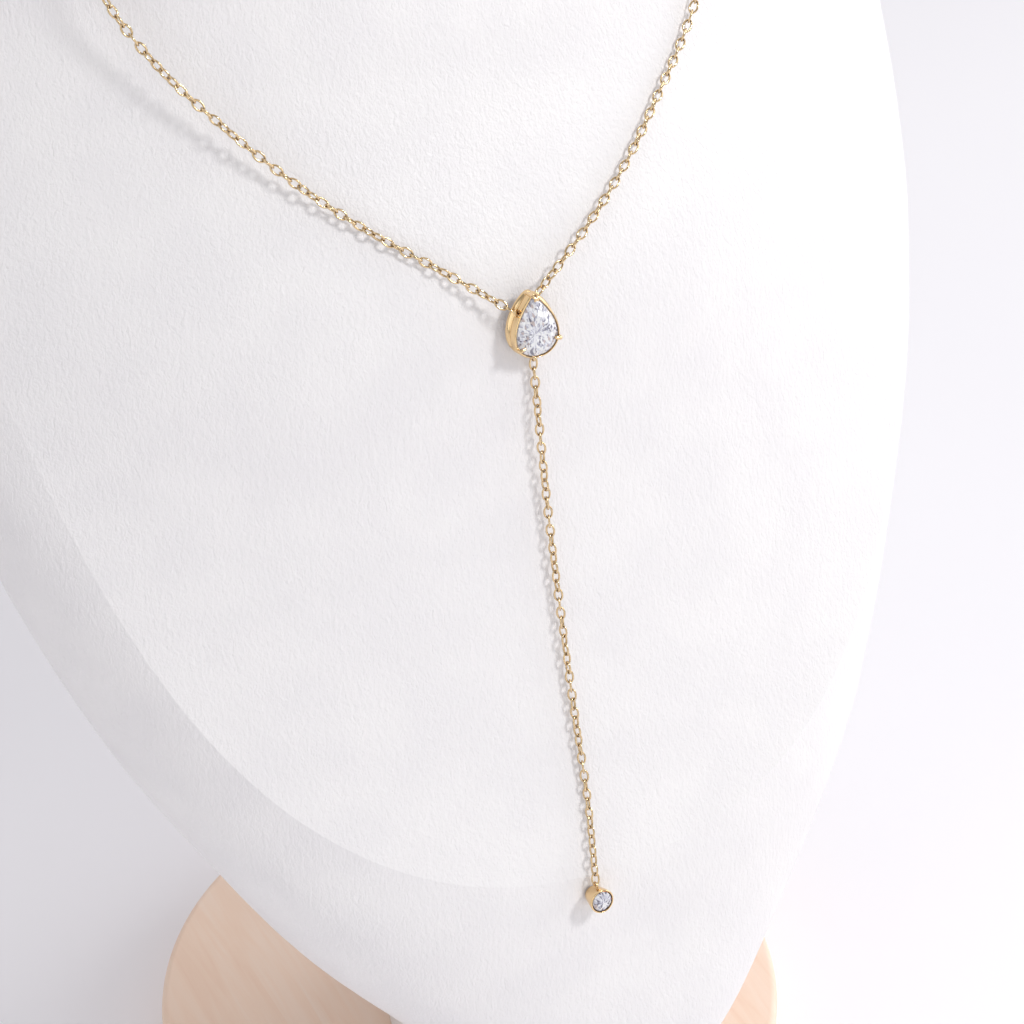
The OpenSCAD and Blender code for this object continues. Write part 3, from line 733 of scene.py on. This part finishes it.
def drop_route():
    first = with_out(leaned(PEAR_EAR, PEAR_LEAN, PEAR_PLACE), (0, -1, 0))
    last = with_out(leaned(CUP_EAR, CUP_LEAN, CUP_PLACE), (0, -1, 0))
    rows = [with_out(before_chest(PEAR_X + x * CUP_X, PEAR_UP + h * (CUP_UP - PEAR_UP), off * LINK_W),
                     (0, -1, 0)) for x, h, off in DROP_ROUTE]
    return curve_through([first] + rows + [last])


def trimmed(route, cut):
    """The route without a length at each end, so that its ends are the first and last links' middles."""
    run = np.concatenate([[0], np.cumsum(np.linalg.norm(np.diff(route[:, :3], axis=0), axis=1))])
    inner = run[(run > cut) & (run < run[-1] - cut)]
    places = np.concatenate([[cut], inner, [run[-1] - cut]])
    return np.column_stack([np.interp(places, run, route[:, k]) for k in range(6)]), run[-1] - 2 * cut


# Sizes and turns that the chain's tree is given, and their kinds of socket
CHAIN_INPUTS = (("Links", "Int"), ("Half length", "Float"), ("Half width", "Float"),
                ("Wire radius", "Float"), ("Turn", "Float"), ("First turn", "Float"),
                ("Whole twist", "Float"), ("Turning links", "Float"), ("Stray turn", "Float"),
                ("Seed", "Int"), ("Metal", "Material"))


def chain_tree():
    """Geometry Nodes tree that lays oval links along a route, each turned from the one before it."""
    tree = bpy.data.node_groups.new("cable_chain", "GeometryNodeTree")
    face = tree.interface
    face.new_socket("Route", in_out="INPUT", socket_type="NodeSocketGeometry")
    for name, kind in CHAIN_INPUTS:
        face.new_socket(name, in_out="INPUT", socket_type="NodeSocket" + kind)
    face.new_socket("Chain", in_out="OUTPUT", socket_type="NodeSocketGeometry")
    n = Nodes(tree)
    given = n.add("NodeGroupInput").outputs
    result = n.add("NodeGroupOutput").inputs["Chain"]

    # Places of the links, and the route's way and outward side there
    line = n.add("GeometryNodeMeshToCurve", {"Mesh": given["Route"]}).outputs[0]
    places = n.add("GeometryNodeCurveToPoints", {"Curve": line, "Count": given["Links"]},
                   mode="COUNT").outputs
    out = n.add("GeometryNodeInputNamedAttribute", {"Name": "outward"},
                data_type="FLOAT_VECTOR").outputs[0]
    along_route = n.add("FunctionNodeAxesToRotation",
                        {"Primary Axis": places["Tangent"], "Secondary Axis": out},
                        primary_axis="X", secondary_axis="Z").outputs[0]

    # Turn of each link about the route
    index = n.add("GeometryNodeInputIndex").outputs[0]
    last = n.math("SUBTRACT", given["Links"], 1)
    from_end = n.math("MINIMUM", index, n.math("SUBTRACT", last, index))
    grown = n.add("ShaderNodeMapRange",
                  {"Value": from_end, "From Min": 0.0, "From Max": given["Turning links"],
                   "To Min": 0.0, "To Max": given["Turn"]}, interpolation_type="SMOOTHSTEP").outputs[0]
    every_second = n.math("MULTIPLY", n.math("MODULO", index, 2), math.radians(-90))
    stray = n.add("FunctionNodeRandomValue",
                  {"Min": n.math("MULTIPLY", given["Stray turn"], -1), "Max": given["Stray turn"],
                   "ID": index, "Seed": given["Seed"]}, data_type="FLOAT").outputs
    twist = n.math("MULTIPLY", n.math("DIVIDE", index, last), given["Whole twist"])
    turn = n.math("ADD", n.math("ADD", grown, every_second), given["First turn"])
    turn = n.math("ADD", turn, [o for o in stray if o.enabled][0])
    turn = n.math("ADD", turn, twist)
    about = n.add("FunctionNodeAxisAngleToRotation", {"Axis": (1, 0, 0), "Angle": turn}).outputs[0]
    turned = n.add("FunctionNodeRotateRotation", {"Rotation": along_route, "Rotate By": about},
                   rotation_space="LOCAL").outputs[0]

    # The oval link, laid at each place
    oval = n.add("GeometryNodeCurvePrimitiveCircle", {"Resolution": LINK_STEPS, "Radius": 1.0}).outputs[0]
    size = n.add("ShaderNodeCombineXYZ",
                 {"X": given["Half length"], "Y": given["Half width"], "Z": 1.0}).outputs[0]
    oval = n.add("GeometryNodeTransform", {"Geometry": oval, "Scale": size}).outputs[0]
    wire = n.add("GeometryNodeCurvePrimitiveCircle",
                 {"Resolution": WIRE_STEPS, "Radius": given["Wire radius"]}).outputs[0]
    link = n.add("GeometryNodeCurveToMesh", {"Curve": oval, "Profile Curve": wire}).outputs[0]
    chain = n.add("GeometryNodeInstanceOnPoints",
                  {"Points": places["Points"], "Instance": link, "Rotation": turned}).outputs[0]
    chain = n.add("GeometryNodeRealizeInstances", {"Geometry": chain}).outputs[0]
    chain = n.add("GeometryNodeSetShadeSmooth", {"Geometry": chain}).outputs[0]
    chain = n.add("GeometryNodeSetMaterial", {"Geometry": chain, "Material": given["Metal"]}).outputs[0]
    n.feed(result, chain)
    return tree


CHAIN_TREE = chain_tree()


def make_chain(name, node, route, first_turn, turn, twists, seed):
    """A run of chain. Its gaps between links are even in number, so its two end links lie the same way."""
    route, run = trimmed(route, LINK_HALF)
    gaps = 2 * math.ceil(run / LINK_PITCH / 2)
    piece = mesh_object(name, route[:, :3], [], CHAIN_GOLD)
    piece.data.edges.add(len(route) - 1)
    piece.data.edges.foreach_set("vertices", [k for i in range(len(route) - 1) for k in (i, i + 1)])
    outward = piece.data.attributes.new("outward", "FLOAT_VECTOR", "POINT")
    outward.data.foreach_set("vector", route[:, 3:].astype(np.float32).ravel())
    modifier = piece.modifiers.new("links", "NODES")
    modifier.node_group = CHAIN_TREE
    values = {"Links": gaps + 1, "Half length": LINK_HALF * MM, "Half width": LINK_SIDE * MM,
              "Wire radius": (LINK_WIRE + LINK_BOLD) / 2 * MM, "Turn": math.radians(turn),
              "First turn": math.radians(first_turn), "Turning links": float(TURN_LINKS),
              "Whole twist": math.radians(180 * twists),
              "Stray turn": math.radians(LINK_STRAY), "Seed": seed, "Metal": CHAIN_GOLD}
    for item in CHAIN_TREE.interface.items_tree:
        if item.in_out == "INPUT" and item.name in values:
            modifier[item.identifier] = values[item.name]
    make_plain(piece)
    return finish(piece, "gold", node)


def make_plain(piece):
    """Turn what a piece's modifiers make into its plain mesh."""
    bpy.context.view_layer.update()
    evaluated = piece.evaluated_get(bpy.context.evaluated_depsgraph_get())
    mesh = bpy.data.meshes.new_from_object(evaluated)
    piece.modifiers.clear()
    piece.data = mesh


# Pendants, each in its own frame: the lip in the plane y = 0, +y towards the bust
def pear_point(t, blunt=0.0):
    """Outline of the pear at an angle from its tip. A blunt outline has a rounder tip."""
    radians = math.radians(t)
    x = PEAR_W / 2 / PEAR_PEAK * math.sin(radians) * math.sin(radians / 2) ** (1 - blunt)
    return np.array([x, PEAR_H * (PEAR_MIDDLE + math.cos(radians) / 2)])


def pear_out(t, blunt=0.0):
    """Outward direction of the pear's outline, which is straight up at its tip."""
    step = unit(pear_point(min(t + 1, 359), blunt) - pear_point(max(t - 1, 1), blunt))
    return np.array([0, 1.0]) if t < 1 or t > 359 else np.array([-step[1], step[0]])


def wall_profile():
    """Outside of the setting's wall: share of its depth, and how far it stands out in millimetres."""
    rows = []
    for i in range(BAND_STEPS - 1):
        swell = math.sin(math.pi / 2 * i / BAND_STEPS * BAND_BEND) ** BAND_ROUND
        rows.append((BAND_EDGE * i / BAND_STEPS, SETTING_WALL * (BAND_LIP + BAND_SWELL * swell)))
    for share, out in GROOVE:
        rows.append((BAND_EDGE * share, SETTING_WALL * out))
    for i in range(1, BACK_STEPS + 1):
        bulge = math.sin(math.pi * i / BACK_STEPS) ** BACK_ROUND
        rows.append((BAND_EDGE + (1 - BAND_EDGE) * i / BACK_STEPS,
                     SETTING_WALL * (BACK_LIP + BACK_SWELL * bulge)))
    return rows


def pear_ring(out, share):
    """A ring of the setting's wall, out from the stone's edge, at a share of the wall's depth."""
    blunt = WALL_BACK_BLUNT * ease((share - BLUNT_FROM) / BLUNT_OVER)
    draw_in = 1 - WALL_TAPER * share
    ring = []
    for i in range(PEAR_STEPS):
        t = 360 * (i + 0.5) / PEAR_STEPS
        x, z = pear_point(t, blunt) * draw_in + pear_out(t, blunt) * out
        ring.append((x, SETTING_DEPTH * share, z))
    return ring


def tube(points, radii):
    """Rings round a bent wire, drawn to a round end at each end."""
    points = [np.asarray(p, float) for p in points]
    start = unit(points[1] - points[0])
    end = unit(points[-1] - points[-2])
    full = []
    for k in range(CLAW_END_STEPS):
        a = math.radians(90 * k / CLAW_END_STEPS)
        radius = max(radii[0] * math.sin(a), CLAW_END_R)
        full.append((points[0] - start * radii[0] * math.cos(a), radius, start))
    for i, p in enumerate(points):
        ahead = unit(points[min(i + 1, len(points) - 1)] - points[max(i - 1, 0)])
        full.append((p, radii[i], ahead))
    for k in range(1, CLAW_END_STEPS + 1):
        a = math.radians(90 * k / CLAW_END_STEPS)
        radius = max(radii[-1] * math.cos(a), CLAW_END_R)
        full.append((points[-1] + end * radii[-1] * math.sin(a), radius, end))
    # A direction that no part of a claw runs along
    guide = np.array([0.3, 0.2, 0.93])
    turns = [2 * math.pi * j / CLAW_SIDES for j in range(CLAW_SIDES)]
    rings = []
    for place, radius, ahead in full:
        side = unit(np.cross(ahead, guide))
        up = np.cross(side, ahead)
        rings.append([place + radius * (math.cos(b) * up + math.sin(b) * side) for b in turns])
    return rings


def claw_rings(t, stout, stand):
    """A claw: up the outside of the wall, past the lip and over the stone's edge."""
    edge = pear_point(t)
    out = pear_out(t)
    post = edge + out * (STONE_GAP + SETTING_WALL * CLAW_SEAT)
    over = edge - out * CLAW_REACH
    back = post * (1 - WALL_TAPER)
    route = [(back[0], SETTING_DEPTH * CLAW_FOOT, back[1]), (post[0], SETTING_DEPTH * CLAW_MIDDLE, post[1]),
             (post[0], CLAW_LIP, post[1]), (post[0], CLAW_BEND * stand, post[1])]
    for share, front in CLAW_OVER:
        x, z = post + (over - post) * share
        route.append((x, front * stand, z))
    return tube(route, [radius * stout for radius in CLAW_WIRE])


def ring_rings(middle, turn):
    """A small round ring whose hole faces -Y, turned about the upright."""
    cosine = math.cos(math.radians(turn))
    sine = math.sin(math.radians(turn))
    rings = []
    for i in range(EAR_STEPS):
        a = 2 * math.pi * i / EAR_STEPS
        ring = []
        for j in range(EAR_SIDES):
            b = 2 * math.pi * j / EAR_SIDES
            r = EAR_R + EAR_WIRE / 2 * math.cos(b)
            x = r * math.cos(a)
            y = EAR_WIRE / 2 * math.sin(b)
            z = r * math.sin(a)
            ring.append(np.array(middle) + np.array([x * cosine - y * sine, x * sine + y * cosine, z]))
        rings.append(ring)
    return rings


def cast(name, shells, voxel, lean, place, node):
    """Solder gold shells into one body: they are remeshed together finely, then smoothed a little."""
    points = []
    faces = []
    for rings, closed in shells:
        offset = len(points)
        points += [p for ring in rings for p in ring]
        for face in skin_faces(len(rings), len(rings[0]), closed):
            faces.append(tuple(offset + k for k in face))
    piece = mesh_object(name, points, faces, GOLD, 1)
    outside(piece)
    remesh = piece.modifiers.new("solder", "REMESH")
    remesh.mode = "VOXEL"
    remesh.voxel_size = voxel
    soften = piece.modifiers.new("soften", "SMOOTH")
    soften.factor = 0.5
    soften.iterations = 4
    make_plain(piece)
    place_pendant(piece, lean, place)
    piece.data.materials.clear()
    piece.data.materials.append(GOLD)
    return finish(smooth_piece(piece, sharp_angle=70), "gold", node)


def outside(piece):
    """Turn a closed mesh's faces outwards, shell by shell."""
    bpy.context.view_layer.objects.active = piece
    piece.select_set(True)
    bpy.ops.object.mode_set(mode="EDIT")
    bpy.ops.mesh.select_all(action="SELECT")
    bpy.ops.mesh.normals_make_consistent(inside=False)
    bpy.ops.object.mode_set(mode="OBJECT")
    piece.select_set(False)


def place_pendant(piece, lean, place):
    """Lean a pendant's mesh back, move it to its place and turn it into metres."""
    turn = Matrix.Rotation(math.radians(-lean), 4, "X")
    piece.data.transform(Matrix.Scale(MM, 4) @ Matrix.Translation(Vector(place)) @ turn)
    piece.data.update()


def make_pear_setting():
    profile = wall_profile()
    outer = [pear_ring(STONE_GAP + out, share) for share, out in profile]
    inner = [pear_ring(STONE_GAP, share) for share, out in reversed(profile)]
    shells = [(outer + inner, True)]
    for t, stout, stand in CLAWS:
        shells.append((claw_rings(t % 360, stout, stand), False))
    for ear in (EAR_LEFT, EAR_RIGHT):
        shells.append((ring_rings(ear[:3], ear[3]), True))
    shells.append((ring_rings(PEAR_EAR, 90), True))
    cast("pear_claw_setting", shells, SETTING_VOXEL, PEAR_LEAN, PEAR_PLACE, "pear_setting")


def make_cup():
    """The cup, from the middle of its back out, forward round its lip, and in to its floor."""
    outside_r = CUP_D / 2
    inside_r = outside_r - CUP_WALL
    back_r = CUP_BACK_D / 2
    floor = CUP_DEPTH - CUP_FLOOR
    profile = [(CUP_HUB, CUP_DEPTH), (back_r - 0.3, CUP_DEPTH), (back_r - 0.09, CUP_DEPTH - 0.09),
               (back_r, CUP_DEPTH - 0.3), (outside_r - 0.06, 0.75), (outside_r, 0.3),
               (outside_r - 0.03, 0.1), (outside_r - CUP_WALL / 2, 0), (inside_r + 0.03, 0.06),
               (inside_r, 0.25), (inside_r, 0.6), (0.4, floor), (CUP_HUB, floor)]
    turns = [2 * math.pi * i / CUP_STEPS for i in range(CUP_STEPS)]
    rings = [[(r * math.sin(a), y, r * math.cos(a)) for a in turns] for r, y in profile]
    shells = [(rings, False), (ring_rings(CUP_EAR, 90), True)]
    cast("round_cup", shells, CUP_VOXEL, CUP_LEAN, CUP_PLACE, "drop_bezel")


def brilliant(name, outline, width, mains, lean, place, node, stone):
    """A brilliant cut: table, stars, kites and upper halves over lower halves and pavilion mains."""
    close = math.cos(math.pi / mains)
    points = []

    def ring(share, depth, count, offset):
        first = len(points)
        for i in range(count):
            x, z = outline((i + offset) * 360 / count) * share
            points.append((x, GIRDLE_DEPTH + depth * width, z))
        return [first + i for i in range(count)]

    top = ring(TABLE, -CROWN, mains, 0)
    star = ring(CROWN_MIDDLE, -CROWN * (1 - CROWN_MIDDLE * close) / (1 - TABLE), mains, 0.5)
    upper = ring(1, -GIRDLE, mains * 2, 0)
    lower = ring(1, GIRDLE, mains * 2, 0)
    deep = ring(PAVILION_MIDDLE, PAVILION * (1 - PAVILION_MIDDLE * close), mains, 0.5)
    points.append((0, GIRDLE_DEPTH + PAVILION * width, 0))
    tip = len(points) - 1
    faces = [tuple(top)]
    for k in range(mains):
        after = (k + 1) % mains
        g0, g1, g2 = 2 * k, 2 * k + 1, (2 * k + 2) % (2 * mains)
        faces += [(top[k], top[after], star[k]), (star[k - 1], top[k], star[k], upper[g0]),
                  (star[k], upper[g1], upper[g0]), (star[k], upper[g2], upper[g1]),
                  (upper[g0], upper[g1], lower[g1], lower[g0]), (upper[g1], upper[g2], lower[g2], lower[g1]),
                  (lower[g0], lower[g1], deep[k]), (lower[g1], lower[g2], deep[k]),
                  (lower[g0], deep[k], tip, deep[k - 1])]
    piece = mesh_object(name, points, faces, stone, 1)
    outside(piece)
    place_pendant(piece, lean, place)
    return finish(piece, "stone", node)


def round_point(t):
    """Outline of the round stone at an angle from its top."""
    radians = math.radians(t)
    return ROUND_R * np.array([math.sin(radians), math.cos(radians)])


def make_stones():
    brilliant("pear_cut_stone", lambda t: pear_point(t % 360), PEAR_W, PEAR_MAINS, PEAR_LEAN, PEAR_PLACE,
              "pear_stone", PEAR_STONE)
    brilliant("round_cut_stone", round_point, ROUND_R * 2, ROUND_MAINS, CUP_LEAN, CUP_PLACE,
              "drop_stone", ROUND_STONE)


# Studio. Lights: name, way to it from the bust's chest, distance and width in metres, and power in watts
LIGHT_AIM = (0, -20, 170)
LIGHTS = (("key_light", (0.42, -0.57, 0.707), 1.2, 0.24, 6.2),
          ("right_panel", (1.0, -0.1, 0.25), 1.4, 0.9, 6.7),
          ("top_panel", (0.1, 0.3, 1.0), 1.4, 1.0, 5.2),
          ("left_panel", (-1.0, -0.3, 0.4), 1.4, 1.2, 3.1),
          ("front_panel", (-0.1, -1.0, 0.2), 1.5, 1.2, 3.1))
AIR_COLOUR = (0.97, 0.97, 1, 1)
AIR_LIGHT = 0.39
FLOOR_REACH = 3


def area_light(name, towards, distance, size, power):
    light = bpy.data.lights.new(name, "AREA")
    light.shape = "DISK"
    light.size = size
    light.energy = power
    lamp = bpy.data.objects.new(name, light)
    bpy.context.scene.collection.objects.link(lamp)
    away = Vector(towards).normalized()
    lamp.location = Vector(LIGHT_AIM) * MM + away * distance
    lamp.rotation_euler = away.to_track_quat("Z", "Y").to_euler()


def make_studio():
    corners = [(x * FLOOR_REACH, y * FLOOR_REACH, 0) for x, y in ((-1, -1), (1, -1), (1, 1), (-1, 1))]
    floor = mesh_object("studio_floor", corners, [(0, 1, 2, 3)], studio_white(), 1)
    for light in LIGHTS:
        area_light(*light)
    world = bpy.data.worlds.new("studio_air")
    world.use_nodes = True
    air = world.node_tree.nodes["Background"].inputs
    air["Color"].default_value = AIR_COLOUR
    air["Strength"].default_value = AIR_LIGHT
    bpy.context.scene.world = world


def studio_white():
    n = Finish("studio_white")
    shade = n.noise(n.object_place(), 3)
    n.set(base_color=n.ramp(shade, (0.3, (0.93, 0.91, 0.945)), (0.7, (0.96, 0.94, 0.97))), roughness=0.7)
    return n.material


make_wood()
make_bust()
make_chain("chain_left", "neck_chain_left", neck_route(-1, EAR_LEFT, LEFT_ROUTE),
           first_turn=90, turn=LINK_TURN, twists=NECK_TWISTS, seed=3)
make_chain("chain_right", "neck_chain_right", neck_route(1, EAR_RIGHT, RIGHT_ROUTE),
           first_turn=90, turn=RIGHT_TURN, twists=0, seed=8)
make_chain("drop_links", "drop_chain", drop_route(),
           first_turn=0, turn=LINK_TURN, twists=DROP_TWISTS, seed=5)
make_pear_setting()
make_cup()
make_stones()
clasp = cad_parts["clasp"]
clasp.data.materials.clear()
clasp.data.materials.append(GOLD)
make_studio()
